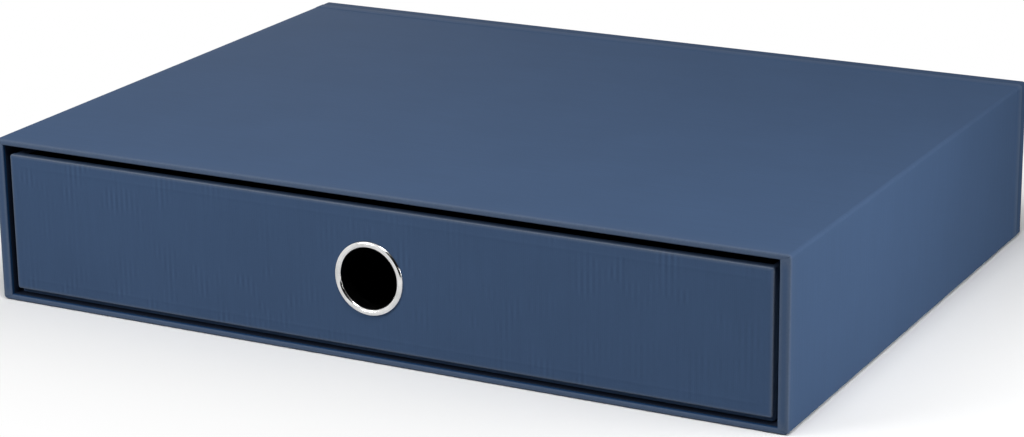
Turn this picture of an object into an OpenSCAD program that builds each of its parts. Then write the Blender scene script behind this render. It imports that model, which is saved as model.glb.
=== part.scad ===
// File box with one drawer, made as a bookbinder makes it: cut greyboard, taped at the corners,
// covered with structured paper that is turned over every edge, and lined. The drawer is a lined
// tray with a covered front panel, and a clinched metal eyelet goes through both as a finger pull.
// Millimetres. X runs across the front, Y from the mouth to the back, Z is up.
// The origin is the centre of the underside.

/* [Case] */
// Outer width
case_w = 335; // [280:1:400]
// Outer depth, from the mouth to the back
case_d = 252; // [200:1:340]
// Outer height
case_h = 66; // [60:1:100]
// Greyboard of the top, the bottom and the back
case_board = 1.8; // [1.5:0.1:3]
// Greyboard of the two sides, which carry whatever is stacked on top
side_board = 3.8; // [2:0.1:5]
// Radius of the four edges that run from front to back
long_edge_r = 1.6; // [1:0.1:2]
// Radius of the covered edges round the mouth and the back
mouth_edge_r = 0.6; // [0.5:0.1:1]

/* [Paper and tape] */
// Thickness of the cover paper
cover = 0.2; // [0.15:0.01:0.3]
// Thickness of the lining paper
lining = 0.15; // [0.1:0.01:0.25]
// How far the cover is turned into the case at its mouth
mouth_turn = 18; // [10:1:30]
// How far the sheet on the back is lapped over the edges onto the four sides
back_lap = 5.5; // [4:0.5:20]
// How far the tray's cover is turned over the rim into the tray
rim_turn = 10; // [6:0.5:16]
// How far the tray's cover is turned under the tray
bottom_turn = 14; // [8:1:20]
// Margin that a base sheet leaves along the edges of the underside
base_margin = 2; // [1.5:0.1:4]
// Margin that linings and tapes leave along a mouth or a rim
mouth_margin = 1.2; // [1.2:0.1:5]
// Thickness of the gummed tape, which is pressed flush into the board
tape = 0.15; // [0.1:0.01:0.25]
// Width of the tape on each side of a corner
tape_leg = 12; // [8:1:16]

/* [Tray] */
// Clearance above the rim of the tray
tray_top_gap = 3.8; // [3.6:0.1:12]
// Greyboard of the tray
tray_board = 2.2; // [1.8:0.1:3]
// Radius of the upright corners
tray_corner_r = 1.4; // [0.8:0.1:1.8]
// Radius of the covered rim
rim_r = 0.7; // [0.5:0.1:1]
// Running clearance at each side
tray_side_gap = 2.2; // [0.4:0.1:3]
// Running clearance under the tray
tray_floor_gap = 0.1; // [0.05:0.05:0.5]
// Clearance between the closed tray and the back of the case
tray_back_gap = 0.3; // [0.2:0.1:2]

/* [Front panel] */
// Greyboard of the front panel
panel_board = 2.2; // [2:0.1:3.2]
// Gap above the panel
panel_top_gap = 3.6; // [2:0.1:5]
// Gap below the panel
panel_bottom_gap = 2.8; // [1:0.1:4]
// Gap at each side of the panel
panel_side_gap = 2.3; // [1.5:0.1:5]
// How far the panel stands back from the mouth
panel_recess = 1.1; // [0.6:0.1:4]
// Radius of the panel's covered edges
panel_edge_r = 0.8; // [0.6:0.1:1.2]
// Radius of the panel's four corners
panel_corner_r = 1; // [0.8:0.1:4]
// How far the cover is turned onto the back of the panel
panel_turn = 10; // [6:1:12]

/* [Eyelet] */
// Radius of the finger hole
finger_r = 11.8; // [8:0.1:12]
// Thickness of the eyelet's sheet metal
eyelet_metal = 0.4; // [0.3:0.05:0.6]
// Radius of the rolled bead on the front
bead_r = 1.4; // [1:0.1:1.8]
// Radius of the clinched curl on the back
curl_r = 1.1; // [0.8:0.1:1.3]
// Thickness of the washer under the curl
washer = 0.5; // [0.3:0.05:0.8]
// Width of the washer
washer_w = 2.7; // [2.6:0.1:3.5]
// Clearance of the eyelet's barrel in the board and in the washer
barrel_gap = 0.15; // [0.1:0.05:0.3]

/* [Hidden] */
$fn = 72;

// How far a cutting shape runs past the face that it cuts
past = 2;

cover_colour = [0.29, 0.37, 0.50];
lining_colour = [0.07, 0.07, 0.08];
board_colour = [0.62, 0.59, 0.54];
tape_colour = [0.76, 0.64, 0.46];
metal_colour = [0.80, 0.80, 0.81];

function span(r) = r[1] - r[0];
function middle(r) = (r[0] + r[1]) / 2;
function grow(r, by) = [r[0] - by, r[1] + by];
function below(r, edge) = [r[0] - past, edge];
function above(r, edge) = [edge, r[1] + past];

// A carcass is an open box of boards whose mouth faces +Z. It is given by its outer ranges in X, Y
// and Z, by its boards (those square to X, those square to Y, the closed end), by the radius of the
// corners that run along Z and by the radius of its other edges.
function outer(c) = c[0];
function corner_r(c) = c[2];
function edge_r(c) = c[3];
function inner_x(c) = grow(c[0][0], -c[1][0]);
function inner_y(c) = grow(c[0][1], -c[1][1]);
function floor_z(c) = c[0][2][0] + c[1][2];
function mouth_z(c) = c[0][2][1];

// The case stands on its back in that frame: its +Y is up, and its mouth faces the front
case_box = [
    [[cover - case_w / 2, case_w / 2 - cover], [2 * cover, case_h - cover], [cover - case_d, -cover]],
    [side_board, case_board, case_board],
    long_edge_r - cover,
    mouth_edge_r - cover
];

// Clear room in the case, past the turned cover and the lining
room_x = grow(inner_x(case_box), -cover - lining);
room_z = grow(inner_y(case_box), -cover - lining);
room_back = -floor_z(case_box) - lining;

// The clear mouth of the case
mouth_x = grow(inner_x(case_box), -cover);
mouth_y = grow(inner_y(case_box), -cover);

// The front panel has the case's frame, and is a block with no inside
panel_back = panel_recess + 2 * cover + panel_board;
panel_box = [
    [
        grow(mouth_x, -panel_side_gap - cover),
        [mouth_y[0] + panel_bottom_gap + cover, mouth_y[1] - panel_top_gap - cover],
        [cover - panel_back, -panel_recess - cover]
    ],
    [0, 0, 0],
    panel_corner_r - cover,
    panel_edge_r - cover
];

// The tray stands upright, with its mouth up
tray_bottom = room_z[0] + tray_floor_gap;
tray_box = [
    [
        grow(room_x, -tray_side_gap - cover),
        [panel_back + cover, room_back - tray_back_gap - cover],
        [tray_bottom + 2 * cover, room_z[1] - tray_top_gap - cover]
    ],
    [tray_board, tray_board, tray_board],
    tray_corner_r - cover,
    rim_r - cover
];

// The eyelet sits in the middle of the panel and clamps it to the front of the tray
eyelet_z = middle(outer(panel_box)[1]);
washer_seat = outer(tray_box)[1][0] + tray_board + lining;
clinch_seat = washer_seat + washer;
barrel_r = finger_r + eyelet_metal;
hole_r = barrel_r + barrel_gap;

// ---- Frames ----

// From the front of the box, with Y running inwards
module from_front() {
    translate([0, -case_d / 2, 0]) children();
}

// From the front of the box, with +Z facing the user and +Y up
module facing_front() {
    from_front() rotate([90, 0, 0]) children();
}

// ---- Shapes on ranges ----

module block(x, y, z) {
    translate([x[0], y[0], z[0]]) cube([span(x), span(y), span(z)]);
}

module rectangle(u, v) {
    translate([u[0], v[0]]) square([span(u), span(v)]);
}

module rounded(u, v, r) {
    rectangle(grow(u, -r), v);
    rectangle(u, grow(v, -r));
    for (a = grow(u, -r), b = grow(v, -r)) translate([a, b]) circle(r);
}

// An opening that is rounded out to both sides at its upper end
module flared(u, v, r) {
    rectangle(u, above(v, v[0]));
    difference() {
        rectangle(grow(u, r), above(v, v[1] - r));
        for (a = grow(u, r)) translate([a, v[1] - r]) circle(r);
    }
}

// A profile drawn in Y and Z, carried along X
module along_x(r) {
    translate([r[0], 0, 0]) rotate([90, 0, 90]) linear_extrude(span(r)) children();
}

// A profile drawn in X and Z, carried along Y
module along_y(r) {
    translate([0, r[1], 0]) rotate([90, 0, 0]) linear_extrude(span(r)) children();
}

// A profile drawn in X and Y, carried along Z
module along_z(r) {
    translate([0, 0, r[0]]) linear_extrude(span(r)) children();
}

// ---- Board and paper on a carcass; "by" is how far a surface stands off the board ----

module solid_block(c, by) {
    x = grow(outer(c)[0], by);
    y = grow(outer(c)[1], by);
    z = grow(outer(c)[2], by);
    intersection() {
        along_z(z) rounded(x, y, corner_r(c) + by);
        along_y(y) rounded(x, z, edge_r(c) + by);
        along_x(x) rounded(y, z, edge_r(c) + by);
    }
}

module cavity(c, by) {
    x = grow(inner_x(c), -by);
    y = grow(inner_y(c), -by);
    z = [floor_z(c) + by, mouth_z(c) + by];
    intersection() {
        along_y(grow(y, past)) flared(x, z, edge_r(c) + by);
        along_x(grow(x, past)) flared(y, z, edge_r(c) + by);
    }
}

module carcass(c, by) {
    difference() {
        solid_block(c, by);
        cavity(c, by);
    }
}

// The cover on the outside of a carcass, over its mouth and turned in by a given depth
module wrapped(c, turn) {
    difference() {
        carcass(c, cover);
        carcass(c, 0);
        block(inner_x(c), inner_y(c), below([floor_z(c), 0], mouth_z(c) - turn));
    }
}

// The inside of a carcass from the closed end up to a given depth below the mouth
module inside(c, by, depth) {
    block(grow(inner_x(c), -by), grow(inner_y(c), -by), [floor_z(c) + by, mouth_z(c) - depth]);
}

// The lining: pasted over the turned cover near the mouth, and on bare board below it
module lined(c, turn) {
    difference() {
        inside(c, 0, mouth_margin);
        inside(c, lining, turn + lining);
        inside(c, cover + lining, 0);
        difference() {
            block(inner_x(c), inner_y(c), [mouth_z(c) - turn, mouth_z(c)]);
            inside(c, cover, -past);
        }
    }
}

// Gummed tape on the four corners that run along Z
module corner_tapes(c, z) {
    x = outer(c)[0];
    y = outer(c)[1];
    intersection() {
        difference() {
            solid_block(c, 0);
            solid_block(c, -tape);
        }
        union() {
            for (a = [below(x, x[0] + tape_leg), above(x, x[1] - tape_leg)])
                for (b = [below(y, y[0] + tape_leg), above(y, y[1] - tape_leg)]) block(a, b, z);
        }
    }
}

// ---- Case ----

// The boards in one block of the case; the back is set in between the other four
module case_board_in(x, y, z) {
    color(board_colour) facing_front() difference() {
        intersection() {
            carcass(case_box, 0);
            block(x, y, z);
        }
        case_tape_run();
    }
}

module case_tape_run() {
    z = outer(case_box)[2];
    corner_tapes(case_box, [z[0] + edge_r(case_box), z[1] - mouth_margin]);
}

module case_top_board() {
    y = outer(case_box)[1];
    case_board_in(inner_x(case_box), above(y, inner_y(case_box)[1]), grow(outer(case_box)[2], past));
}

module case_bottom_board() {
    y = outer(case_box)[1];
    case_board_in(inner_x(case_box), below(y, inner_y(case_box)[0]), grow(outer(case_box)[2], past));
}

module case_left_board() {
    x = below(outer(case_box)[0], inner_x(case_box)[0]);
    case_board_in(x, grow(outer(case_box)[1], past), grow(outer(case_box)[2], past));
}

module case_right_board() {
    x = above(outer(case_box)[0], inner_x(case_box)[1]);
    case_board_in(x, grow(outer(case_box)[1], past), grow(outer(case_box)[2], past));
}

module case_back_board() {
    case_board_in(inner_x(case_box), inner_y(case_box), below(outer(case_box)[2], floor_z(case_box)));
}

module case_corner_tapes() {
    color(tape_colour) facing_front() case_tape_run();
}

// One sheet goes right round the case and stops short of the back
module case_wrap_paper() {
    lap_edge = outer(case_box)[2][0] + back_lap;
    color(cover_colour) facing_front() difference() {
        wrapped(case_box, mouth_turn);
        block(
            grow(outer(case_box)[0], past),
            grow(outer(case_box)[1], past),
            below([lap_edge - case_d, 0], lap_edge)
        );
    }
}

// The sheet on the back is lapped over the edges and meets the wrap there
module case_back_paper() {
    z = outer(case_box)[2][0];
    color(cover_colour) facing_front() intersection() {
        difference() {
            solid_block(case_box, cover);
            solid_block(case_box, 0);
        }
        block(grow(outer(case_box)[0], past), grow(outer(case_box)[1], past), [z - past, z + back_lap]);
    }
}

module case_base_paper() {
    color(cover_colour) facing_front()
        block(grow(outer(case_box)[0], -base_margin), [0, cover], grow(outer(case_box)[2], -base_margin));
}

module case_lining() {
    color(lining_colour) facing_front() lined(case_box, mouth_turn);
}

// ---- Tray ----

module finger_hole() {
    facing_front() translate([0, eyelet_z, -clinch_seat - past])
        cylinder(r = hole_r, h = clinch_seat + 2 * past);
}

// The boards in one block of the tray; the two sides run its whole depth
module tray_board_in(x, y, z) {
    color(board_colour) difference() {
        from_front() difference() {
            intersection() {
                carcass(tray_box, 0);
                block(x, y, z);
            }
            tray_tape_run();
        }
        finger_hole();
    }
}

module tray_tape_run() {
    z = outer(tray_box)[2];
    corner_tapes(tray_box, [z[0] + tray_board, z[1] - mouth_margin]);
}

module tray_front_board() {
    y = below(outer(tray_box)[1], inner_y(tray_box)[0]);
    tray_board_in(inner_x(tray_box), y, above(outer(tray_box)[2], floor_z(tray_box)));
}

module tray_back_board() {
    y = above(outer(tray_box)[1], inner_y(tray_box)[1]);
    tray_board_in(inner_x(tray_box), y, above(outer(tray_box)[2], floor_z(tray_box)));
}

module tray_left_board() {
    x = below(outer(tray_box)[0], inner_x(tray_box)[0]);
    tray_board_in(x, grow(outer(tray_box)[1], past), above(outer(tray_box)[2], floor_z(tray_box)));
}

module tray_right_board() {
    x = above(outer(tray_box)[0], inner_x(tray_box)[1]);
    tray_board_in(x, grow(outer(tray_box)[1], past), above(outer(tray_box)[2], floor_z(tray_box)));
}

module tray_bottom_board() {
    z = below(outer(tray_box)[2], floor_z(tray_box));
    tray_board_in(grow(outer(tray_box)[0], past), grow(outer(tray_box)[1], past), z);
}

module tray_corner_tapes() {
    color(tape_colour) from_front() tray_tape_run();
}

// One strip goes round the four walls, over the rim, and is turned under the bottom
module tray_wrap_paper() {
    x = grow(outer(tray_box)[0], -bottom_turn);
    y = grow(outer(tray_box)[1], -bottom_turn);
    color(cover_colour) difference() {
        from_front() difference() {
            wrapped(tray_box, rim_turn);
            block(x, y, below([tray_bottom, 0], floor_z(tray_box) - tray_board));
        }
        finger_hole();
    }
}

// The base sheet lies on the turned strip and steps up to the bare board inside it
module tray_base_paper() {
    x = outer(tray_box)[0];
    y = outer(tray_box)[1];
    step = bottom_turn + cover;
    z = [tray_bottom, tray_bottom + cover, tray_bottom + 2 * cover];
    color(cover_colour) from_front() difference() {
        block(grow(x, -base_margin), grow(y, -base_margin), [z[0], z[2]]);
        block(grow(x, -step), grow(y, -step), [z[0] - past, z[1]]);
        difference() {
            block(x, y, [z[1], z[2] + past]);
            block(grow(x, -bottom_turn), grow(y, -bottom_turn), [z[1] - past, z[2] + 2 * past]);
        }
    }
}

module tray_lining() {
    color(lining_colour) difference() {
        from_front() lined(tray_box, rim_turn);
        finger_hole();
    }
}

// ---- Front panel and finger pull ----

module front_panel_board() {
    color(board_colour) difference() {
        facing_front() solid_block(panel_box, 0);
        finger_hole();
    }
}

// The cover goes over the front and all four edges, and is turned onto the back
module front_panel_paper() {
    x = grow(outer(panel_box)[0], -panel_turn);
    y = grow(outer(panel_box)[1], -panel_turn);
    z = outer(panel_box)[2];
    color(cover_colour) difference() {
        facing_front() difference() {
            solid_block(panel_box, cover);
            solid_block(panel_box, 0);
            block(x, y, below(z, z[0]));
        }
        finger_hole();
    }
}

// A lip rolled outwards in a plane above its own centre, so that its edge bites on the seat
module rolled_lip(r) {
    translate([finger_r + r, 0]) difference() {
        circle(r);
        circle(r - eyelet_metal);
        rectangle([-r - past, r + past], [-r - past, 0]);
        rectangle([0, r + past], [-past, eyelet_metal]);
    }
}

// The eyelet: a bead on the front, a barrel through the boards, and a curl over the washer
module eyelet() {
    front = -panel_recess - eyelet_metal;
    back = -clinch_seat + eyelet_metal;
    color(metal_colour) facing_front() translate([0, eyelet_z, 0]) rotate_extrude() {
        rectangle([finger_r, barrel_r], [back, front]);
        translate([0, front]) rolled_lip(bead_r);
        translate([0, back]) mirror([0, 1]) rolled_lip(curl_r);
    }
}

module eyelet_washer() {
    color(metal_colour) facing_front() translate([0, eyelet_z, -clinch_seat]) difference() {
        cylinder(r = hole_r + washer_w, h = washer);
        translate([0, 0, -past]) cylinder(r = hole_r, h = washer + 2 * past);
    }
}

case_top_board();
case_bottom_board();
case_left_board();
case_right_board();
case_back_board();
case_corner_tapes();
case_wrap_paper();
case_back_paper();
case_base_paper();
case_lining();
tray_front_board();
tray_back_board();
tray_left_board();
tray_right_board();
tray_bottom_board();
tray_corner_tapes();
tray_wrap_paper();
tray_base_paper();
tray_lining();
front_panel_board();
front_panel_paper();
eyelet();
eyelet_washer();
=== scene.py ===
import math

import bmesh
import bpy
import numpy as np
from mathutils import Matrix, Vector


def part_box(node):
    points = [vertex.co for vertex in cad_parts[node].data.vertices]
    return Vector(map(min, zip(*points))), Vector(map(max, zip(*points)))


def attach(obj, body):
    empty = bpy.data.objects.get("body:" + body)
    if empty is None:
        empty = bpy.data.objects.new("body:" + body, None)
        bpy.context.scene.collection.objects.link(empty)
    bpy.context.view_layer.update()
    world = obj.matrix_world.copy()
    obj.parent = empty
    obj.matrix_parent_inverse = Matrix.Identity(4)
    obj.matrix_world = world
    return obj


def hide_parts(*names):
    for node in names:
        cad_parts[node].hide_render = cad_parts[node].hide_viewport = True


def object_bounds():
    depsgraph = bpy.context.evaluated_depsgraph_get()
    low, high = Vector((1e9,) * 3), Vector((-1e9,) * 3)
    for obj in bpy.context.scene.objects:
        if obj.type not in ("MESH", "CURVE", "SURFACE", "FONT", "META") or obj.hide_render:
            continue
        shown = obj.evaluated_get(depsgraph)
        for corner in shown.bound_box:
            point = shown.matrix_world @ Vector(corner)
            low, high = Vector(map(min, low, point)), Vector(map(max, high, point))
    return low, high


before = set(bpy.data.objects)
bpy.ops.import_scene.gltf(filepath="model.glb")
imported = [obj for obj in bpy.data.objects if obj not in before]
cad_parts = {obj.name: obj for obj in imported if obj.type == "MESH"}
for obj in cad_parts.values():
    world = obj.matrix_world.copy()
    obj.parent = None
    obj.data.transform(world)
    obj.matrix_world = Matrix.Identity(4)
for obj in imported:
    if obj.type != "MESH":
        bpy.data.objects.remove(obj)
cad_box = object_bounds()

MM = 0.001


# ---- The view and the light ----
# A plain white studio: one pale floor, and a long lens that looks down past the front right corner.
# A soft box hangs high above the front, a small one lights the right side, and two fill left and rear.

scene = bpy.context.scene
scene.view_settings.view_transform = "Standard"

view_turn = math.radians(27.82)
view_down = math.radians(17.63)
view_roll = math.radians(-0.70)
view_from = (0.5289, -1.0136, 0.3835)

lens = bpy.data.cameras.new("view")
lens.sensor_width = 36.0
lens.lens = 104.107
camera = bpy.data.objects.new("view", lens)
turns = (Matrix.Rotation(view_turn, 4, "Z"), Matrix.Rotation(math.pi / 2 - view_down, 4, "X"),
         Matrix.Rotation(view_roll, 4, "Z"))
camera.matrix_world = Matrix.Translation(view_from) @ turns[0] @ turns[1] @ turns[2]
scene.collection.objects.link(camera)
scene.camera = camera


def wire(tree, output, socket):
    """Joins a node's output to a socket."""
    tree.links.new(output, socket)


def node(tree, kind, inputs=None, **settings):
    """A node of a kind, with settings on the node and values or other nodes' outputs on its sockets."""
    made = tree.nodes.new(kind)
    for key, value in settings.items():
        setattr(made, key, value)
    for key, value in (inputs or {}).items():
        if isinstance(value, bpy.types.NodeSocket):
            wire(tree, value, made.inputs[key])
        else:
            made.inputs[key].default_value = value
    return made


def contrast(tree, value, low, high, to_low=0.0, to_high=1.0):
    """A value stretched from one range to another and held inside it."""
    return node(tree, "ShaderNodeMapRange", {"Value": value, "From Min": low, "From Max": high,
                                             "To Min": to_low, "To Max": to_high}).outputs[0]


def seen_or_mirrored(tree):
    """1 for a ray from the camera, off a shiny surface or through a clear one, and 0 for all others."""
    rays = node(tree, "ShaderNodeLightPath").outputs
    either = node(tree, "ShaderNodeMath", {0: rays["Is Camera Ray"], 1: rays["Is Glossy Ray"]},
                  operation="MAXIMUM")
    return node(tree, "ShaderNodeMath", {0: either.outputs[0], 1: rays["Is Transmission Ray"]},
                operation="MAXIMUM").outputs[0]


def bare_material(name):
    """A material without a shader yet, with its node tree and the socket that takes the shader."""
    made = bpy.data.materials.new(name)
    made.use_nodes = True
    made.node_tree.nodes.clear()
    return made, made.node_tree, node(made.node_tree, "ShaderNodeOutputMaterial").inputs["Surface"]


def studio_piece(name, outline, paint):
    """One flat face of the studio round an outline of points, which isn't part of the object."""
    mesh = bpy.data.meshes.new(name)
    mesh.from_pydata(outline, [], [tuple(range(len(outline)))])
    mesh.materials.append(paint)
    piece = bpy.data.objects.new(name, mesh)
    scene.collection.objects.link(piece)
    return piece


sky_light = 0.14
world = bpy.data.worlds.new("studio")
world.use_nodes = True
tree = world.node_tree
tree.nodes.clear()
sky = node(tree, "ShaderNodeBackground", {"Color": (1, 1, 1, 1), "Strength": contrast(
    tree, seen_or_mirrored(tree), 0.0, 1.0, sky_light, 1.0)})
wire(tree, sky.outputs[0], node(tree, "ShaderNodeOutputWorld").inputs["Surface"])
scene.world = world

# The floor takes the box's shadow close by, and goes over into the white of the studio further out
floor_paint, tree, out = bare_material("floor")
seen = seen_or_mirrored(tree)
spot = node(tree, "ShaderNodeVectorMath", {0: node(tree, "ShaderNodeTexCoord").outputs["Object"]},
            operation="ABSOLUTE")
beyond = node(tree, "ShaderNodeVectorMath", {0: spot.outputs[0], 1: cad_box[1]}, operation="SUBTRACT")
clear_of_box = node(tree, "ShaderNodeVectorMath", {0: beyond.outputs[0], 1: (0, 0, 0)}, operation="MAXIMUM")
from_box = node(tree, "ShaderNodeVectorMath", {0: clear_of_box.outputs[0]}, operation="LENGTH")
shadow_reach = 0.11
white_out = node(tree, "ShaderNodeMath",
                 {0: contrast(tree, from_box.outputs["Value"], 0.0, shadow_reach), 1: seen},
                 operation="MULTIPLY")
matt = node(tree, "ShaderNodeBsdfDiffuse", {"Color": contrast(tree, seen, 0.0, 1.0, 0.45, 1.0)})
mixed = node(tree, "ShaderNodeMixShader", {0: white_out.outputs[0], 1: matt.outputs[0],
                                           2: node(tree, "ShaderNodeEmission").outputs[0]})
wire(tree, mixed.outputs[0], out)
floor_reach = 6.0
studio_piece("floor", np.array(((-1, -1, 0), (1, -1, 0), (1, 1, 0), (-1, 1, 0))) * floor_reach, floor_paint)


def soft_lamp(name, place, aim, size, watts):
    """A square soft box at a place, turned to shine on a point. The camera doesn't see it."""
    lamp = bpy.data.lights.new(name, "AREA")
    lamp.shape = "SQUARE"
    lamp.size = size
    lamp.energy = watts
    box = bpy.data.objects.new(name, lamp)
    away = Vector(place) - Vector(aim)
    box.matrix_world = Matrix.Translation(place) @ away.to_track_quat("Z", "Y").to_matrix().to_4x4()
    box.visible_camera = False
    scene.collection.objects.link(box)


soft_lamp("key", (0.20, -0.41, 0.80), (0.1, -0.12, 0.06), 0.3, 3.5)
soft_lamp("left_fill", (-0.38, -0.62, 0.48), (-0.1, -0.12, 0.03), 0.3, 2.4)
soft_lamp("right_side", (0.45, -0.07, 0.12), (0.16, -0.08, 0.04), 0.16, 0.68)
soft_lamp("rear_fill", (-0.50, 0.60, 0.13), (-0.1, 0.12, 0.03), 0.25, 1.4)

# A black flag that only shiny surfaces mirror: it gives the eyelet the dark edge on its right
flag_place, flag_faces, flag_radius = Vector((0.45, -0.44, 0.29)), Vector((-0.74, 0.52, -0.42)), 0.50
flag_turn = np.array(flag_faces.to_track_quat("Z", "Y").to_matrix())
round_flag = np.linspace(0, 2 * np.pi, 48, endpoint=False)
flag_disc = flag_radius * np.stack((np.cos(round_flag), np.sin(round_flag), 0 * round_flag), 1)
flag_paint, tree, out = bare_material("flag")
wire(tree, node(tree, "ShaderNodeBsdfDiffuse", {"Color": (0.01, 0.01, 0.01, 1)}).outputs[0], out)
flag = studio_piece("flag", flag_disc @ flag_turn.T + flag_place, flag_paint)
flag.visible_camera = flag.visible_diffuse = flag.visible_transmission = flag.visible_shadow = False


# ---- Boards ----
# Grey pulp board, cut square and butted: a pressed sheet of waste paper with longer fibres and
# dark flecks in it. The covers hide it everywhere, and only a torn cover would show it.

def shared_group(name, inputs, outputs):
    """An empty shader group with named inputs (name, kind, value) and outputs (name, kind)."""
    group = bpy.data.node_groups.new(name, "ShaderNodeTree")
    for label, kind, value in inputs:
        socket = group.interface.new_socket(label, in_out="INPUT", socket_type="NodeSocket" + kind)
        if value is not None:
            socket.default_value = value
    for label, kind in outputs:
        group.interface.new_socket(label, in_out="OUTPUT", socket_type="NodeSocket" + kind)
    return group, group.nodes.new("NodeGroupInput").outputs, group.nodes.new("NodeGroupOutput").inputs


# Paper fibre: short felted hairs, and the cloudy look-through of a sheet held to the light
fibre_group, given, put = shared_group(
    "paper_fibre",
    [("Vector", "Vector", None), ("Hair", "Float", 900.0), ("Cloud", "Float", 40.0)],
    [("Fibre", "Float"), ("Cloudiness", "Float")])
stretched = node(fibre_group, "ShaderNodeVectorMath", {0: given["Vector"], 1: (1.0, 0.55, 0.8)},
                 operation="MULTIPLY")
hairs = node(fibre_group, "ShaderNodeTexNoise",
             {"Vector": stretched.outputs[0], "Scale": given["Hair"], "Detail": 4.0, "Roughness": 0.62,
              "Distortion": 0.8})
clouds = node(fibre_group, "ShaderNodeTexNoise",
              {"Vector": given["Vector"], "Scale": given["Cloud"], "Detail": 3.0, "Roughness": 0.5})
wire(fibre_group, hairs.outputs["Fac"], put["Fibre"])
wire(fibre_group, clouds.outputs["Fac"], put["Cloudiness"])


def new_material(name):
    """A material with one Principled shader, with its node tree and the shader's sockets."""
    made, tree, out = bare_material(name)
    surface = node(tree, "ShaderNodeBsdfPrincipled")
    wire(tree, surface.outputs[0], out)
    return made, tree, surface.inputs


def placed(tree, group, inputs):
    """The outputs of a shared group in a material, with values or other nodes' outputs on its sockets."""
    return node(tree, "ShaderNodeGroup", inputs, node_tree=group).outputs


def tint(tree, mask, dark, light):
    """A colour between two, by a mask from 0 to 1."""
    mix = node(tree, "ShaderNodeMix", data_type="RGBA", clamp_factor=True)
    wire(tree, mask, mix.inputs["Factor"])
    for socket, colour in ((mix.inputs["A"], dark), (mix.inputs["B"], light)):
        if isinstance(colour, bpy.types.NodeSocket):
            wire(tree, colour, socket)
        else:
            socket.default_value = (*colour, 1.0)
    return mix.outputs["Result"]


def emboss(tree, height, depth):
    """A normal from a height that goes from 0 to 1 over a real depth in metres."""
    return node(tree, "ShaderNodeBump", {"Height": height, "Distance": depth}).outputs[0]


greyboard, tree, surface = new_material("greyboard")
place = node(tree, "ShaderNodeTexCoord").outputs["Object"]
pulp = placed(tree, fibre_group, {"Vector": place, "Hair": 700.0, "Cloud": 60.0})
flecks = node(tree, "ShaderNodeTexVoronoi", {"Vector": place, "Scale": 420.0, "Randomness": 1.0})
fleck = contrast(tree, flecks.outputs["Distance"], 0.10, 0.16)
grey = tint(tree, contrast(tree, pulp["Fibre"], 0.3, 0.7), (0.27, 0.245, 0.20), (0.40, 0.37, 0.315))
wire(tree, tint(tree, fleck, (0.16, 0.14, 0.12), grey), surface["Base Color"])
wire(tree, contrast(tree, pulp["Cloudiness"], 0.3, 0.7, 0.82, 0.95), surface["Roughness"])
wire(tree, emboss(tree, pulp["Fibre"], 0.06 * MM), surface["Normal"])


def finish_cad(name, material):
    """Gives a carried-over solid its own material in place of the plain one."""
    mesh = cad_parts[name].data
    mesh.materials.clear()
    mesh.materials.append(material)


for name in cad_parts:
    if name.endswith("_board"):
        finish_cad(name, greyboard)


# ---- Corner tapes ----
# Brown gummed paper tape, wetted and rubbed down flush over each corner before the covers go on.
# It has fine length-wise reeding from the making of the paper.

def sum_of(tree, a, b, factor):
    """a + b times factor."""
    return node(tree, "ShaderNodeMath", {0: b, 1: factor, 2: a}, operation="MULTIPLY_ADD").outputs[0]


tape_paper, tree, surface = new_material("gummed_tape")
place = node(tree, "ShaderNodeTexCoord").outputs["Object"]
felt = placed(tree, fibre_group, {"Vector": place, "Hair": 1100.0, "Cloud": 90.0})
reeds = node(tree, "ShaderNodeTexWave", {"Vector": place, "Scale": 260.0, "Distortion": 1.2, "Detail": 1.0},
             wave_type="BANDS", bands_direction="Z")
mixed = sum_of(tree, felt["Fibre"], reeds.outputs["Fac"], 0.25)
wire(tree, tint(tree, contrast(tree, mixed, 0.3, 0.9), (0.38, 0.25, 0.125), (0.54, 0.38, 0.21)),
     surface["Base Color"])
wire(tree, contrast(tree, felt["Cloudiness"], 0.3, 0.7, 0.55, 0.75), surface["Roughness"])
wire(tree, emboss(tree, mixed, 0.03 * MM), surface["Normal"])
for name in ("case_corner_tapes", "tray_corner_tapes"):
    finish_cad(name, tape_paper)


# ---- The cover paper on the case ----
# One sheet of dark blue, rib-embossed paper, pasted right round the four boards. It goes over the
# mouth's edges with a small round, and is turned in and rubbed down on the boards inside.

cover = 0.2 * MM
least_round = 0.3 * MM


def span_of(low_node, high_node, axis):
    """The outside of two nodes along an axis: the first one's low side and the second one's high side."""
    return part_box(low_node)[0][axis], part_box(high_node)[1][axis]


def clear_between(low_node, high_node, axis):
    """The room between two nodes along an axis."""
    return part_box(low_node)[1][axis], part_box(high_node)[0][axis]


corner_steps, long_steps, short_steps, deep_steps = 8, 72, 16, 54


def rounded_loops(u, v, radius, along_u=long_steps, along_v=short_steps):
    """One rounded rectangle per row: a quarter circle of the row's radius about each corner of the inset
    rectangle, and even steps along the straight runs between them. Returns rows x points x 2."""
    low_u, high_u, low_v, high_v, r = (a[:, None] for a in np.broadcast_arrays(*u, *v, radius))
    turn = np.linspace(0, np.pi / 2, corner_steps + 1)
    centres = ((high_u - r, high_v - r), (low_u + r, high_v - r),
               (low_u + r, low_v + r), (high_u - r, low_v + r))
    arcs = [np.stack((cu + r * np.cos(turn + k * np.pi / 2), cv + r * np.sin(turn + k * np.pi / 2)), -1)
            for k, (cu, cv) in enumerate(centres)]
    parts = []
    for k, steps in enumerate((along_u, along_v, along_u, along_v)):
        start, end = arcs[k][:, -1:], arcs[(k + 1) % 4][:, :1]
        parts += [arcs[k], start + (end - start) * (np.arange(1, steps) / steps)[None, :, None]]
    return np.concatenate(parts, 1)


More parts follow.
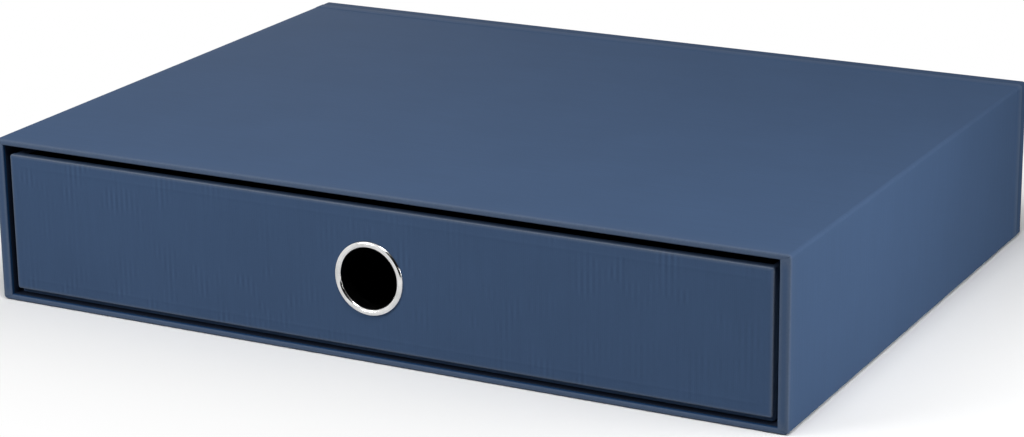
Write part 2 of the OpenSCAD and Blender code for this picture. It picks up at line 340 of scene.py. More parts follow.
def runs(*stops, step=5 * MM):
    """Depths through the stops, in even steps no longer than the step."""
    parts = [np.linspace(a, b, max(2, int(np.ceil(abs(b - a) / step)) + 1))[:-1]
             for a, b in zip(stops, stops[1:])]
    return np.concatenate(parts + [[stops[-1]]])


def over_the_mouth(by, walls, edge, outside, inside, steps=6):
    """The path of a surface that stands off a wall's board by a distance: along the outside, a quarter
    circle about the centre of the board's edge round, flat across the board's edge, a quarter circle
    again, and along the inside. Returns the inset in u, the inset in v and the depth below the edge."""
    turn = np.linspace(0, np.pi / 2, steps + 1)
    reach = edge + by
    flat = np.linspace(0, 1, 4)[1:-1]
    inset = [np.concatenate((np.full(len(outside), -by), edge - reach * np.cos(turn),
                             edge + (wall - 2 * edge) * flat, wall - edge + reach * np.sin(turn),
                             np.full(len(inside), wall + by))) for wall in walls]
    depth = np.concatenate((outside, edge - reach * np.sin(turn), np.full(len(flat), -by),
                            edge - reach * np.cos(turn), inside))
    return inset[0], inset[1], depth


def lengths(*coordinates):
    """Distance along a path from its first point: the running sum of its steps."""
    return np.concatenate(([0], np.cumsum(np.sqrt(sum(np.diff(c) ** 2 for c in coordinates)))))


def girth_of(loop):
    """Distance round a closed loop from its first point, once more at its end."""
    return lengths(*np.concatenate((loop, loop[:1])).T)


def goes_round(path, loop):
    """The map of a strip that goes round: the length of path of each row, and the way round of each point."""
    return np.broadcast_arrays(path[:, None], girth_of(loop)[None])


def laid_flat(loops):
    """The map of a sheet laid flat: the places of its points, with the first one again at the end."""
    closed = np.concatenate((loops, loops[:, :1]), 1)
    return closed[..., 0], closed[..., 1]


def merge_and_smooth(mesh, sharp=35):
    """Merges the points that fall together, and shades smooth but for real creases."""
    work = bmesh.new()
    work.from_mesh(mesh)
    bmesh.ops.remove_doubles(work, verts=work.verts, dist=1e-7)
    work.to_mesh(mesh)
    work.free()
    mesh.shade_smooth()
    mesh.set_sharp_from_angle(angle=math.radians(sharp))


def outwards(spots, quads):
    """Whether the quads face outwards: the sum of the signed volumes under them is above nothing."""
    a, b, c, d = (spots[quads[:, k]] for k in range(4))
    return np.einsum("ij,ij->i", a, np.cross(b, c) + np.cross(c, d)).sum() > 0


def closed_sheet(name, face, back, sheet_map, marks=None, pole=False):
    """A sheet with a real thickness. Its face and back are grids of rows x points x 3, closed round the
    points and joined along their first rows, and along their last rows or each at a pole. The map gives
    metres across the ribs and along them, and each mark is one number per point of the face."""
    rows, points = face.shape[:2]
    i, j = np.meshgrid(np.arange(2 * rows), np.arange(points), indexing="ij")
    if pole:
        kept = np.arange(2 * rows) != rows - 1
        i, j = i[kept], j[kept]
    i, j = i.ravel(), j.ravel()
    next_i, next_j = (i + 1) % (2 * rows), (j + 1) % points
    quads = np.stack((i * points + j, i * points + next_j, next_i * points + next_j, next_i * points + j), 1)
    flat = np.stack(sheet_map, -1)
    flat = np.concatenate((flat, flat[::-1]))
    corners = np.stack((flat[i, j], flat[i, j + 1], flat[next_i, j + 1], flat[next_i, j]), 1)
    spots = np.concatenate((face, back[::-1])).reshape(-1, 3)
    if not outwards(spots, quads):
        quads, corners = quads[:, ::-1], corners[:, ::-1]
    mesh = bpy.data.meshes.new(name)
    mesh.from_pydata(spots, [], quads)
    mesh.uv_layers.new(name="sheet").data.foreach_set("uv", np.ascontiguousarray(corners, "f").ravel())
    for mark, values in (marks or {}).items():
        both = np.concatenate((values, np.zeros_like(values)))
        mesh.attributes.new(mark, "FLOAT", "POINT").data.foreach_set("value", both.astype("f").ravel())
    piece = bpy.data.objects.new(name, mesh)
    scene.collection.objects.link(piece)
    merge_and_smooth(mesh)
    return piece


def near_arris(grid, corners, width):
    """How near each point is to the closest of some straight arrises, from 1 on one to 0 a few widths away.
    An arris is given by two coordinates, such as (0, x, 2, z)."""
    away = np.min([np.hypot(grid[..., a] - p, grid[..., b] - q) for a, p, b, q in corners], axis=0)
    return np.exp(-(away / width) ** 2)


# Pressed ribs: fine parallel lines from the embossing roller, deeper here and shallower there. In short
# patches, more in some areas than in others, every third rib is paler and the two between are darker,
# which reads as broader bands
rib_group, given, put = shared_group(
    "pressed_ribs",
    [("Vector", "Vector", None), ("Pitch", "Float", 0.8 * MM), ("Wander", "Float", 0.05)],
    [("Height", "Float"), ("Streak", "Float"), ("Band", "Float")])
parted = node(rib_group, "ShaderNodeSeparateXYZ", {0: given["Vector"]})
counted = node(rib_group, "ShaderNodeMath", {0: parted.outputs["X"], 1: given["Pitch"]}, operation="DIVIDE")


def noise_on(tree, vector, scales):
    """Noise on a vector that is scaled by so much along each axis."""
    scaled = node(tree, "ShaderNodeVectorMath", {0: vector, 1: scales}, operation="MULTIPLY")
    noise = node(tree, "ShaderNodeTexNoise", {"Vector": scaled.outputs[0], "Scale": 1.0, "Detail": 2.0})
    return noise.outputs["Fac"]


def wave_of(tree, count, each):
    """The cosine of an angle that makes one whole turn for each so many ribs."""
    angle = node(tree, "ShaderNodeMath", {0: count, 1: 2 * math.pi / each}, operation="MULTIPLY")
    return node(tree, "ShaderNodeMath", {0: angle.outputs[0]}, operation="COSINE").outputs[0]


def product(tree, a, b):
    """a times b."""
    return node(tree, "ShaderNodeMath", {0: a, 1: b}, operation="MULTIPLY").outputs[0]


sheet = given["Vector"]
bent = sum_of(rib_group, counted.outputs[0], noise_on(rib_group, sheet, (900.0, 60.0, 1.0)), given["Wander"])
streak = noise_on(rib_group, sheet, (430.0, 35.0, 1.0))
bite = contrast(rib_group, streak, 0.35, 0.7, 0.35, 1.0)
patches = contrast(rib_group, noise_on(rib_group, sheet, (95.0, 75.0, 1.0)), 0.50, 0.68)
areas = contrast(rib_group, noise_on(rib_group, sheet, (19.0, 31.0, 1.0)), 0.40, 0.60, 0.2, 1.0)
ribs = product(rib_group, wave_of(rib_group, bent, 1), bite)
bands = product(rib_group, wave_of(rib_group, bent, 3), product(rib_group, patches, areas))
wire(rib_group, contrast(rib_group, ribs, -1.0, 1.0), put["Height"])
wire(rib_group, streak, put["Streak"])
wire(rib_group, bands, put["Band"])

# Rubbed arris: where paper goes over an edge its surface is stretched and handled, so it is paler there.
# The paler colour is also a painted highlight, for the light lines that the rounded edges catch
arris_highlight_group, given, put = shared_group(
    "rubbed_arris_highlight",
    [("Color", "Color", (0, 0, 0, 1)), ("Rubbed Highlight Color", "Color", (1, 1, 1, 1)), ("Arris", "Float", 0.0),
     ("Fibre", "Float", 0.5), ("Amount", "Float", 0.5)],
    [("Color", "Color")])
wear_and_highlight = product(arris_highlight_group, given["Arris"], contrast(arris_highlight_group, given["Fibre"], 0.25, 0.75, 0.5, 1.0))
pale = product(arris_highlight_group, wear_and_highlight, given["Amount"])
wire(arris_highlight_group, tint(arris_highlight_group, pale, given["Color"], given["Rubbed Highlight Color"]), put["Color"])

cover_blue = np.array((0.058, 0.1035, 0.200))
# The deeper, darker blue is painted shade: it stands in for the shade in the gaps round the drawer
gap_shade_blue = np.array((0.008, 0.036, 0.098))


def cover_paper(name, rib_depth, banding, rub_and_highlight):
    """Dark blue embossed paper: ribs across the sheet's map, felted fibre, cloudiness, and arrises that are
    paler from rubbing and from a painted highlight. It is a deeper, darker blue where it is marked for
    painted shade inside the mouth, and darker where it is marked for seams and for painted shadow."""
    made, tree, surface = new_material(name)
    place = node(tree, "ShaderNodeTexCoord").outputs["Object"]
    sheet = node(tree, "ShaderNodeUVMap", uv_map="sheet").outputs[0]
    felt = placed(tree, fibre_group, {"Vector": place, "Hair": 1500.0, "Cloud": 28.0})
    ribs = placed(tree, rib_group, {"Vector": sheet, "Pitch": 0.78 * MM, "Wander": 0.35})
    arris = node(tree, "ShaderNodeAttribute", attribute_name="arris").outputs["Fac"]
    seam_and_shadow = node(tree, "ShaderNodeAttribute", attribute_name="seam_and_shadow").outputs["Fac"]
    painted_gap_shade = node(tree, "ShaderNodeAttribute", attribute_name="painted_gap_shade").outputs["Fac"]
    clouded = tint(tree, contrast(tree, felt["Cloudiness"], 0.3, 0.7), cover_blue * 0.97, cover_blue * 1.03)
    streaked = tint(tree, contrast(tree, ribs["Streak"], 0.3, 0.75, 0.0, 0.3), clouded, cover_blue * 0.86)
    crested = tint(tree, contrast(tree, ribs["Band"], 0.0, 1.0, 0.0, banding), streaked, cover_blue * 1.5)
    banded = tint(tree, contrast(tree, ribs["Band"], 0.0, -1.0, 0.0, banding), crested, cover_blue * 0.5)
    haired = tint(tree, contrast(tree, felt["Fibre"], 0.30, 0.75, 0.0, 0.25), banded, cover_blue * 1.2)
    # Painted shade: the deeper, darker blue where the paper is marked as turned in past the mouth's edge
    gap_shaded = tint(tree, painted_gap_shade, haired, gap_shade_blue)
    # Paler paper at the arrises: rubbing wear and a painted highlight
    rubbed_and_highlit = placed(tree, arris_highlight_group, {"Color": gap_shaded, "Rubbed Highlight Color": (0.20, 0.225, 0.26, 1),
                                      "Arris": arris, "Fibre": felt["Fibre"], "Amount": rub_and_highlight})
    # Darker along the seams, and over the painted shadow on the back sheet's laps
    wire(tree, tint(tree, seam_and_shadow, rubbed_and_highlit["Color"], cover_blue * 0.45), surface["Base Color"])
    wire(tree, contrast(tree, felt["Fibre"], 0.2, 0.8, 0.80, 0.90), surface["Roughness"])
    surface["Specular IOR Level"].default_value = 0.09
    ribbed = emboss(tree, ribs["Height"], rib_depth)
    felted = node(tree, "ShaderNodeBump", {"Height": felt["Fibre"], "Distance": 0.02 * MM, "Normal": ribbed})
    wire(tree, felted.outputs[0], surface["Normal"])
    return made


case_paper = cover_paper("case_cover_paper", 0.020 * MM, 0.10, 0.4)


def dress(piece, body, slot, material, *nodes):
    """Puts a finished piece on its body, in place of its solids, with its material. The slot is not used."""
    piece.data.materials.append(material)
    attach(piece, body)
    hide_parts(*nodes)


case_x = span_of("case_left_board", "case_right_board", 0)
case_z = span_of("case_bottom_board", "case_top_board", 2)
case_y = span_of("case_top_board", "case_top_board", 1)
room_x = clear_between("case_left_board", "case_right_board", 0)
room_z = clear_between("case_bottom_board", "case_top_board", 2)
case_walls = (room_x[0] - case_x[0], room_z[0] - case_z[0])
case_corner, case_edge = 1.4 * MM, 0.4 * MM
wrap_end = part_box("case_wrap_paper")[1][1]
mouth_turn = 18 * MM


def round_the_case(insets, y):
    """Loops round the case, drawn in from its boards by each row's insets and set at its depth."""
    loops = rounded_loops((case_x[0] + insets[0], case_x[1] - insets[0]),
                          (case_z[0] + insets[1], case_z[1] - insets[1]),
                          np.maximum(case_corner - insets[1], least_round))
    return np.stack((loops[..., 0], np.broadcast_to(y[:, None], loops.shape[:2]), loops[..., 1]), -1)


def hand_cut(loop, size, start):
    """How far a hand-cut edge wanders from its line: a few sines, each with a whole number of waves round
    the loop."""
    way = girth_of(loop)[:-1] / girth_of(loop)[-1] * 2 * np.pi
    return size * sum(share * np.sin(count * way + start * count) for count, share in
                      ((5, 0.9), (13, 0.6), (29, 0.5), (47, 0.35)))


# The wrap's own end wanders a little. Before it, the wrap is lifted by the lap of the back sheet under it
bare_loop, wide_loop = (round_the_case((np.array([by]),) * 2, np.zeros(1))[0] for by in (0.0, -MM))
outward = (wide_loop - bare_loop) / MM
seam_wave, lap_wave = hand_cut(bare_loop, 0.11 * MM, 0.7), hand_cut(bare_loop, 0.16 * MM, 2.1)
lap_end, lap_lift, lap_ramp = 5.5 * MM, 0.12 * MM, 0.6 * MM
seam_gap, seam_width, seam_fade = 0.03 * MM, 0.25 * MM, 2 * MM

# At each corner of the mouth the paper is cut and folded over, which leaves a line across the frame
corner_starts = np.cumsum((0, corner_steps + long_steps, corner_steps + short_steps,
                           corner_steps + long_steps))
mouth_folds = np.isin(np.arange(len(bare_loop)), corner_starts + corner_steps // 2)
fold_depth = 0.08 * MM


def case_wrap(by):
    """Rows from the wrap's end forwards, over the mouth and in, with the marks of its seams."""
    end = wrap_end - case_y[0]
    lap = end - lap_end
    fine = lap + 1 * MM, lap - 1.5 * MM
    outside = np.concatenate((runs(end, end - seam_width, fine[0])[:-1], runs(*fine, step=0.25 * MM)[:-1],
                              runs(fine[1], case_edge + 1 * MM, case_edge)[:-1]))
    inside = runs(case_edge, case_edge + 1 * MM, mouth_turn)[1:]
    inset_x, inset_z, depth = over_the_mouth(by, case_walls, case_edge, outside, inside)
    grid = round_the_case((inset_x, inset_z), case_y[0] + depth)
    on_outside = (np.arange(len(depth)) < len(outside))[:, None]
    from_end = end - depth[:, None]
    lift = lap_lift * on_outside * np.clip(1 - (from_end - lap_end - lap_wave) / lap_ramp, 0, 1)
    grid += lift[..., None] * outward
    grid[..., 1] += on_outside * (seam_wave - seam_gap) * np.clip(1 - from_end / seam_fade, 0, 1)
    folded = np.clip(1 - (depth + by) / (case_edge + by), 0, 1)[:, None] * mouth_folds
    grid[..., 1] += fold_depth * folded * (by > 0)
    cut = on_outside * np.clip(1 - from_end / seam_width, 0, 1)
    seam_and_shadow = np.maximum(folded, np.broadcast_to(cut, folded.shape))
    return grid, lengths(inset_z, depth), seam_and_shadow


face, path, seam_and_shadow = case_wrap(cover)
front_y = cad_box[0][1]
long_edges = [(0, x, 2, z) for x in case_x for z in case_z]
mouth_edges, room_edges = ([(a, p, 1, front_y) for a, sides in ((0, x), (2, z)) for p in sides]
                           for x, z in ((case_x, case_z), (room_x, room_z)))

# The mouth's frame and the wrap's cut end are rubbed the most and carry the strongest painted highlight,
# and what is turned in gets painted shade, a deeper, darker blue
rub_highlight_width, little_rub_highlight, cut_width, cut_rub_highlight = 1.1 * MM, 0.12, 0.9 * MM, 0.8
# Painted shade inside the mouth: what is turned in past the edge is marked for the deeper, darker blue
turned_in = (np.arange(len(face)) > face[:, 0, 1].argmin())[:, None]
painted_gap_shade = turned_in * np.clip((face[..., 1] - front_y) / case_edge, 0, 1)
rubbed_and_highlit = np.max((near_arris(face, mouth_edges, rub_highlight_width),
                 near_arris(face, room_edges, rub_highlight_width) * (1 - painted_gap_shade),
                 near_arris(face, long_edges, rub_highlight_width) * little_rub_highlight,
                 np.exp(-((wrap_end - face[..., 1]) / cut_width) ** 2) * cut_rub_highlight), axis=0)
case_cover = closed_sheet("case_cover", face, case_wrap(0)[0], goes_round(path, face[0]),
                          {"arris": rubbed_and_highlit, "seam_and_shadow": seam_and_shadow, "painted_gap_shade": painted_gap_shade})
dress(case_cover, "case", "cover_paper", case_paper, "case_wrap_paper")


# ---- The back sheet of the case ----
# A second piece of the same paper closes the back. Its edges are lapped over onto the four sides,
# where the wrap covers all but a few millimetres of them. These few millimetres get a painted shadow of the
# wrap's edge.

pole_shrink = np.array((0.85, 0.65, 0.45, 0.25, 0.1, 0.0))


def to_pole(rows, shrink=pole_shrink):
    """More rows, in which the last one shrinks evenly to its middle."""
    middle = (rows[-1].min(0) + rows[-1].max(0)) / 2
    return np.concatenate((rows, middle + (rows[-1] - middle) * shrink[:, None, None]))


def case_back(by):
    """Rows from the seam backwards, over the edges and in across the back to its middle. The map draws
    each row in by the length of paper that is left to the last one, which lays the laps out flat."""
    turn = np.linspace(0, np.pi / 2, 7)
    reach = case_edge + by
    start = case_y[1] - wrap_end
    lap = runs(start, start - seam_width, case_edge + 1 * MM, case_edge)[:-1]
    flat = np.array((1.5, 4.0, 20.0)) * MM
    depth = np.concatenate((lap, case_edge - reach * np.sin(turn), np.full(len(flat), -by)))
    inset = np.concatenate((np.full(len(lap), -by), case_edge - reach * np.cos(turn), flat))
    grid = round_the_case((inset, inset), case_y[1] - depth)
    grid[..., 1] += (seam_wave + seam_gap) * np.clip(1 - (start - depth) / seam_fade, 0, 1)[:, None]
    path = lengths(inset, depth)
    spread = inset[-1] - (path[-1] - path)
    return to_pole(grid), laid_flat(to_pole(round_the_case((spread, spread), depth)[..., ::2]))


face, flat_map = case_back(cover)
back_y = cad_box[1][1]
back_edges = [(a, p, 1, back_y) for a, sides in ((0, case_x), (2, case_z)) for p in sides]
rubbed_and_highlit = little_rub_highlight * near_arris(face, long_edges + back_edges, rub_highlight_width)
# Painted shadow: the laps on the four sides are darkened as if in the shadow of the wrap's edge
lee_shadow = 0.3
lee_shadow_mask = lee_shadow * (face[..., 1] < back_y - case_edge)
back_cover = closed_sheet("case_back_cover", face, case_back(0)[0], flat_map,
                          {"arris": rubbed_and_highlit, "seam_and_shadow": lee_shadow_mask}, pole=True)
dress(back_cover, "case", "cover_paper", case_paper, "case_back_paper")


# ---- The base sheet of the case ----
# A flat sheet of the cover paper, trimmed a little short of the underside all round. It hides the
# line where the two ends of the wrap meet, and is what the box stands on.

sheet_corner = 0.6 * MM


def flat_sheet(name, node_name):
    """A flat sheet in its node's box: rounded rectangles that shrink to a pole, once for each side."""
    low, high = np.array(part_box(node_name))
    loops = rounded_loops((low[:1], high[:1]), (low[1:2], high[1:2]), np.array([sheet_corner]),
                          along_v=deep_steps)
    shrink = np.array((0.95, 0.8, 0.6, 0.4, 0.2, 0.0))
    sides = [to_pole(np.concatenate((loops, np.full((*loops.shape[:2], 1), z)), -1), shrink)
             for z in (low[2], high[2])]
    return closed_sheet(name, sides[0], sides[1], laid_flat(to_pole(loops, shrink))[::-1], pole=True)


base_sheet = flat_sheet("case_base_sheet", "case_base_paper")
dress(base_sheet, "case", "cover_paper", case_paper, "case_base_paper")


# ---- The lining of the case ----
# Thin blue-black paper, pasted in after the cover is turned in, a little short of the mouth. It
# steps down from the turned-in cover to the bare board, and goes on over the back.

lining, paste, lining_margin, lining_step = 0.15 * MM, 0.02 * MM, 1.2 * MM, 0.6 * MM


def lining_paper(name, tone):
    """Blue-black, nearly matt paper with faint clouds in its tone and its polish."""
    made, tree, surface = new_material(name)
    place = node(tree, "ShaderNodeTexCoord").outputs["Object"]
    felt = placed(tree, fibre_group, {"Vector": place, "Hair": 1300.0, "Cloud": 35.0})
    dyed = tint(tree, contrast(tree, felt["Cloudiness"], 0.3, 0.7), tone, tuple(1.35 * c for c in tone))
    wire(tree, tint(tree, contrast(tree, felt["Fibre"], 0.5, 0.85, 0.0, 0.4), dyed, (0.018, 0.026, 0.045)),
         surface["Base Color"])
    wire(tree, contrast(tree, felt["Cloudiness"], 0.3, 0.7, 0.76, 0.86), surface["Roughness"])
    surface["Specular IOR Level"].default_value = 0.2
    wire(tree, emboss(tree, felt["Fibre"], 0.02 * MM), surface["Normal"])
    return made


dark_lining = lining_paper("dark_lining", (0.005, 0.010, 0.024))


def lined(stand_off, walls, depth, turn):
    """Insets of a lining that stands off the board by one distance, and also clears the turned-in cover
    as far as that reaches, with a short ramp between the two."""
    over = cover * np.clip(1 + (turn - depth) / lining_step, 0, 1)
    return walls[0] + stand_off + over, walls[1] + stand_off + over


def case_inside(by):
    """Rows from just behind the mouth to the back, and in across the back to its middle."""
    back, to_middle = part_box("case_back_board")[0][1] - case_y[0] - by, 28 * MM
    depth = runs(lining_margin, mouth_turn, mouth_turn + lining_step, back)
    loops = round_the_case(lined(by, case_walls, depth, mouth_turn), case_y[0] + depth)
    return to_pole(loops), np.concatenate((depth, back + (1 - pole_shrink) * to_middle))


face, path = case_inside(lining)
case_lining = closed_sheet("case_lining_sheet", face, case_inside(paste)[0], goes_round(path, face[0]),
                           pole=True)
dress(case_lining, "case", "lining_paper", dark_lining, "case_lining")


# ---- The cover paper on the tray ----
# A strip of the cover paper goes round the four walls. It is turned under the bottom first, and
# then over the rim, where its ribs stand upright, and down the inside.

tray_x = span_of("tray_left_board", "tray_right_board", 0)
tray_y = span_of("tray_left_board", "tray_left_board", 1)
tray_z = span_of("tray_bottom_board", "tray_left_board", 2)
tray_room_x = clear_between("tray_left_board", "tray_right_board", 0)
tray_room_y = clear_between("tray_front_board", "tray_back_board", 1)
tray_walls = (tray_room_x[0] - tray_x[0], tray_room_y[0] - tray_y[0])
tray_corner, tray_edge = 1.2 * MM, 0.5 * MM
bottom_turn, rim_turn = 14 * MM, 10 * MM
finger_z = sum(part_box("eyelet")[k][2] for k in (0, 1)) / 2
hole_r, punch_past = 12.35 * MM, 3 * MM


def round_the_tray(insets, z):
    """Loops round the tray, drawn in from its boards by each row's insets and set at its height."""
    loops = rounded_loops((tray_x[0] + insets[0], tray_x[1] - insets[0]),
                          (tray_y[0] + insets[1], tray_y[1] - insets[1]),
                          np.maximum(tray_corner - insets[1], least_round), along_v=deep_steps)
    return np.concatenate((loops, np.broadcast_to(z[:, None, None], (*loops.shape[:2], 1))), -1)


def tray_wrap(by):
    """Rows from under the bottom, round its edge, up the outside, over the rim and down the inside."""
    height = tray_z[1] - tray_z[0]
    turn = np.linspace(np.pi / 2, 0, 7)
    reach = tray_edge + by
    under = np.array((bottom_turn, 8 * MM, 3 * MM))
    heel = tray_edge - reach * np.cos(turn)
    outside = runs(height - tray_edge, height - tray_edge - 1 * MM, tray_edge + 1 * MM, tray_edge)[1:-1]
    inside = runs(tray_edge, tray_edge + 1 * MM, rim_turn)[1:]
    inset_x, inset_y, depth = over_the_mouth(by, tray_walls, tray_edge, outside, inside)
    before = np.concatenate((under, heel))
    depth = np.concatenate((np.full(len(under), height + by),
                            height - tray_edge + reach * np.sin(turn), depth))
    inset_x, inset_y = np.concatenate((before, inset_x)), np.concatenate((before, inset_y))
    return round_the_tray((inset_x, inset_y), tray_z[1] - depth), lengths(inset_y, depth)


def pierce(piece):
    """Cuts the finger hole, a round hole along Y, through a piece at the tray's front."""
    low_y, high_y = tray_y[0] - punch_past, tray_room_y[0] + punch_past
    work = bmesh.new()
    ends = Matrix.Translation((0, (low_y + high_y) / 2, finger_z)) @ Matrix.Rotation(math.pi / 2, 4, "X")
    bmesh.ops.create_cone(work, cap_ends=True, segments=96, radius1=hole_r, radius2=hole_r,
                          depth=high_y - low_y, matrix=ends)
    punch_mesh = bpy.data.meshes.new("punch")
    work.to_mesh(punch_mesh)
    work.free()
    punch = bpy.data.objects.new("punch", punch_mesh)
    scene.collection.objects.link(punch)
    cut = piece.modifiers.new("punch", "BOOLEAN")
    cut.operation = "DIFFERENCE"
    cut.solver = "EXACT"
    cut.object = punch
    mesh = bpy.data.meshes.new_from_object(piece.evaluated_get(bpy.context.evaluated_depsgraph_get()))
    piece.modifiers.clear()
    piece.data = mesh
    bpy.data.objects.remove(punch)


tray_paper = cover_paper("tray_cover_paper", 0.020 * MM, 0.10, 0.15)
face, path = tray_wrap(cover)
rim_z = tray_z[1] + cover
uprights = [(0, x, 1, y) for x in tray_x for y in tray_y]
rim_edges = [(a, p, 2, rim_z) for a, sides in ((0, tray_x + tray_room_x), (1, tray_y + tray_room_y))
             for p in sides]
rim_rub_highlight = 0.8 * MM
tray_cover = closed_sheet("tray_cover", face, tray_wrap(0)[0], goes_round(path, face[0])[::-1],
                          {"arris": near_arris(face, uprights + rim_edges, rim_rub_highlight)})
pierce(tray_cover)
dress(tray_cover, "drawer", "cover_paper", tray_paper, "tray_wrap_paper")


# ---- The base sheet of the tray ----
# A flat sheet of the cover paper under the tray, which closes the turned-under strip. It is what
# slides on the floor of the case.

tray_base = flat_sheet("tray_base_sheet", "tray_base_paper")
dress(tray_base, "drawer", "cover_paper", tray_paper, "tray_base_paper")


# ---- The lining of the tray ----
# The same thin blue-black paper as in the case, over the four walls from just under the rim, and over
# the bottom. The finger hole is punched through it.

def tray_inside(by):
    """Rows from just under the rim to the bottom, and in across the bottom to its middle."""
    bottom, to_middle = tray_z[1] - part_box("tray_bottom_board")[1][2] - by, 120 * MM
    depth = runs(lining_margin, rim_turn, rim_turn + lining_step, bottom)
    loops = round_the_tray(lined(by, tray_walls, depth, rim_turn), tray_z[1] - depth)
    return to_pole(loops), np.concatenate((depth, bottom + (1 - pole_shrink) * to_middle))


face, path = tray_inside(lining)
tray_lining = closed_sheet("tray_lining_sheet", face, tray_inside(paste)[0], goes_round(path, face[0]),
                           pole=True)
pierce(tray_lining)
dress(tray_lining, "drawer", "lining_paper", dark_lining, "tray_lining")


# ---- The cover of the front panel ----
# The panel's own piece of cover paper, with upright ribs. It is pasted on the front, pulled tight
# over all four edges and turned onto the back. The turned edge shows through as a low ridge.

panel_low, panel_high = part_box("front_panel_board")
panel_x, panel_z = (panel_low[0], panel_high[0]), (panel_low[2], panel_high[2])
panel_y = (panel_low[1], panel_high[1])
panel_corner, panel_edge, panel_turn = 0.8 * MM, 0.3 * MM, 10 * MM
flange_r = 14.5 * MM
ridge_in, ridge_width, ridge_height = 4.3 * MM, 0.6 * MM, 0.045 * MM
bite_depth, bite_width = 0.08 * MM, 0.9 * MM
top_steps, side_steps = 72, 24


def panel_wrap(by):
    """Rounded rectangles from the turned edge on the back, over the edges and in across the front, then
    rows that turn from the last rectangle into a circle, and circles down to the finger hole. The front
    has a low ridge a few millimetres in, and dips a little where the eyelet's flange bites. The map lays
    the turned edges out flat, as on the back sheet of the case."""
    turn = np.linspace(0, np.pi / 2, 7)
    reach = panel_edge + by
    behind = np.array((panel_turn, 6 * MM, 2 * MM))
    front = np.linspace(1.2, 8.0, 24) * MM
    inset = np.concatenate((behind, panel_edge - reach * np.sin(turn),
                            panel_edge - reach * np.cos(turn), front))
    y = np.concatenate((np.full(len(behind), panel_y[1] + by),
                        panel_y[1] - panel_edge + reach * np.cos(turn),
                        panel_y[0] + panel_edge - reach * np.sin(turn),
                        np.full(len(front), panel_y[0] - by)))
    path = lengths(inset, y)
    spread = inset[-1] - (path[-1] - path)
    loops, opened = (rounded_loops((panel_x[0] + drawn, panel_x[1] - drawn),
                                   (panel_z[0] + drawn, panel_z[1] - drawn),
                                   np.maximum(panel_corner - drawn, least_round), top_steps, side_steps)
                     for drawn in (inset, spread))
    quarter, half_corner = np.pi / 2, 0.02
    angle = np.concatenate([np.concatenate((
        (k + 0.5) * quarter + np.linspace(-half_corner, half_corner, corner_steps + 1),
        (k + 0.5) * quarter + half_corner + (quarter - 2 * half_corner) * np.arange(1, steps) / steps))
        for k, steps in enumerate((top_steps, side_steps) * 2)])
    circle = np.stack((np.cos(angle), np.sin(angle)), -1)
    middle = np.array((0.0, finger_z))
    ring_r, dent_r, under_r = flange_r + 2.4 * MM, flange_r + 1.2 * MM, flange_r - 0.4 * MM
    share = (1 - np.linspace(1, 0, 15)[1:] ** 1.6)[:, None, None]
    morph = loops[-1] + (middle + ring_r * circle - loops[-1]) * share
    radii = np.concatenate((np.linspace(ring_r, dent_r, 4)[1:], np.linspace(dent_r, under_r, 9)[1:],
                            [hole_r]))
    inner = np.concatenate((morph, middle + radii[:, None, None] * circle))
    flat = np.concatenate((loops, inner))
    y = np.concatenate((y, np.full(len(inner), panel_y[0] - by)))
    grid = np.stack((flat[..., 0], np.broadcast_to(y[:, None], flat.shape[:2]), flat[..., 1]), -1)
    on_front = (np.arange(len(y)) >= len(loops) - len(front))[:, None]
    edge_gap = np.minimum(np.minimum(flat[..., 0] - panel_x[0], panel_x[1] - flat[..., 0]),
                          np.minimum(flat[..., 1] - panel_z[0], panel_z[1] - flat[..., 1]))
    from_flange = np.clip(np.hypot(flat[..., 0], flat[..., 1] - finger_z) - flange_r, 0, None)
    ridge = ridge_height * np.exp(-((edge_gap - ridge_in) / ridge_width) ** 2)
    grid[..., 1] += on_front * (bite_depth * np.exp(-from_flange / bite_width) - ridge)
    return grid, laid_flat(np.concatenate((opened, inner)))


panel_paper = cover_paper("panel_cover_paper", 0.030 * MM, 0.30, 0.9)
face, flat_map = panel_wrap(cover)
panel_low, panel_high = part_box("front_panel_paper")
panel_edges = [(a, p, 1, panel_low[1]) for a in (0, 2) for p in (panel_low[a], panel_high[a])]
panel_rub_highlight = 0.5 * MM
panel_cover = closed_sheet("front_panel_cover", face, panel_wrap(0)[0], flat_map,
                           {"arris": near_arris(face, panel_edges, panel_rub_highlight)})
dress(panel_cover, "drawer", "cover_paper", panel_paper, "front_panel_paper")


# ---- The eyelet and its washer ----
# A nickel-plated eyelet of thin sheet: a rolled bead on the front, a short barrel through panel and
# tray, and a curl that is clinched over a washer inside the tray.

def spun(name, radius, depth, steps=160):
    """A closed profile of radii and depths, spun about the finger hole's axis."""
    turn = np.linspace(0, 2 * np.pi, steps, endpoint=False)
    grid = np.stack((radius[:, None] * np.cos(turn), np.broadcast_to(depth[:, None], (len(depth), steps)),
                     finger_z + radius[:, None] * np.sin(turn)), -1)
    i, j = (a.ravel() for a in np.meshgrid(np.arange(len(radius)), np.arange(steps), indexing="ij"))
    next_i, next_j = (i + 1) % len(radius), (j + 1) % steps
    quads = np.stack((i * steps + j, next_i * steps + j, next_i * steps + next_j, i * steps + next_j), 1)
    spots = grid.reshape(-1, 3)
    mesh = bpy.data.meshes.new(name)
    mesh.from_pydata(spots, [], quads if outwards(spots, quads) else quads[:, ::-1])
    piece = bpy.data.objects.new(name, mesh)
    scene.collection.objects.link(piece)
    merge_and_smooth(mesh, 50)
    return piece


eyelet_metal, bead_r, curl_r, finger_r = 0.4 * MM, 1.4 * MM, 1.1 * MM, 11.8 * MM
eyelet_low, eyelet_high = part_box("eyelet")


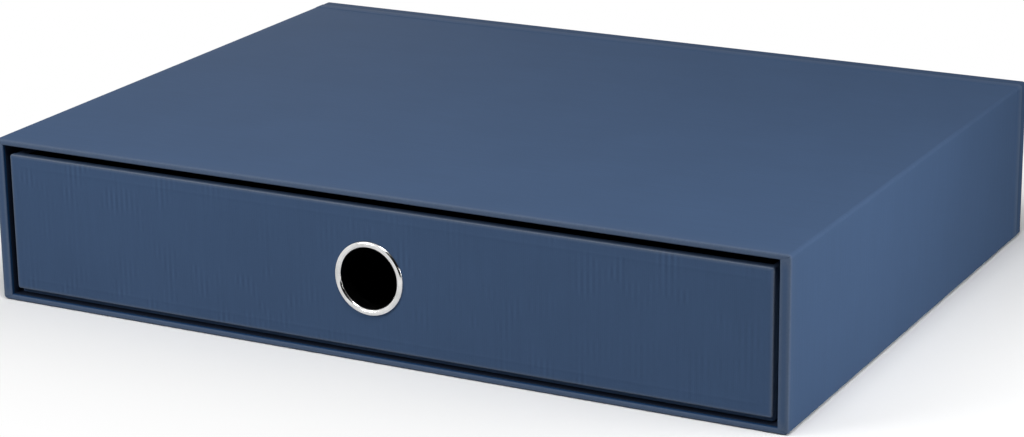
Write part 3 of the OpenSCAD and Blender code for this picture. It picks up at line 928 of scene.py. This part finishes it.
def lip(size, centre, way, steps=14):
    """The outer and inner arcs of a rolled lip, from the barrel over the top to the seat."""
    seat = math.asin(eyelet_metal / size), math.asin(eyelet_metal / (size - eyelet_metal))
    outer = np.linspace(np.pi, seat[0], steps)
    inner = np.linspace(seat[1], np.pi, steps)
    r = finger_r + size + np.concatenate((size * np.cos(outer), (size - eyelet_metal) * np.cos(inner)))
    y = centre + way * np.concatenate((size * np.sin(outer), (size - eyelet_metal) * np.sin(inner)))
    return r, y


bead = lip(bead_r, eyelet_low[1] + bead_r, -1)
curl = lip(curl_r, eyelet_high[1] - curl_r, 1)
ring_profile = [np.concatenate((at_bead, at_curl[::-1])) for at_bead, at_curl in zip(bead, curl)]
eyelet_ring = spun("eyelet_ring", *ring_profile)

# Plated metal: nearly a mirror, with a faint haze and small handling marks
plate_group, given, put = shared_group(
    "plated_metal",
    [("Vector", "Vector", None), ("Haze", "Float", 0.06)],
    [("Roughness", "Float"), ("Height", "Float"), ("Tone", "Float")])
smear = node(plate_group, "ShaderNodeTexNoise", {"Vector": given["Vector"], "Scale": 160.0, "Detail": 3.0})
grit = node(plate_group, "ShaderNodeTexNoise", {"Vector": given["Vector"], "Scale": 2600.0, "Detail": 2.0})
hazed = node(plate_group, "ShaderNodeMath", {0: smear.outputs["Fac"], 1: given["Haze"], 2: 0.10},
             operation="MULTIPLY_ADD")
wire(plate_group, hazed.outputs[0], put["Roughness"])
wire(plate_group, grit.outputs["Fac"], put["Height"])
wire(plate_group, contrast(plate_group, smear.outputs["Fac"], 0.3, 0.7), put["Tone"])

nickel, tree, surface = new_material("nickel_plate")
place = node(tree, "ShaderNodeTexCoord").outputs["Object"]
plated = placed(tree, plate_group, {"Vector": place, "Haze": 0.10})
surface["Metallic"].default_value = 1.0
wire(tree, tint(tree, plated["Tone"], (0.60, 0.60, 0.595), (0.82, 0.82, 0.815)), surface["Base Color"])
wire(tree, plated["Roughness"], surface["Roughness"])
wire(tree, emboss(tree, plated["Height"], 0.004 * MM), surface["Normal"])
dress(eyelet_ring, "drawer", "eyelet_metal", nickel, "eyelet")

washer_low, washer_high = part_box("eyelet_washer")
washer_outer = (washer_high[0] - washer_low[0]) / 2
ease = 0.12 * MM
washer_profile = np.array(((hole_r, washer_low[1] + ease), (hole_r + ease, washer_low[1]),
                           (washer_outer - ease, washer_low[1]), (washer_outer, washer_low[1] + ease),
                           (washer_outer, washer_high[1] - ease), (washer_outer - ease, washer_high[1]),
                           (hole_r + ease, washer_high[1]), (hole_r, washer_high[1] - ease)))
washer = spun("eyelet_back_washer", washer_profile[:, 0], washer_profile[:, 1])
dress(washer, "drawer", "eyelet_metal", nickel, "eyelet_washer")
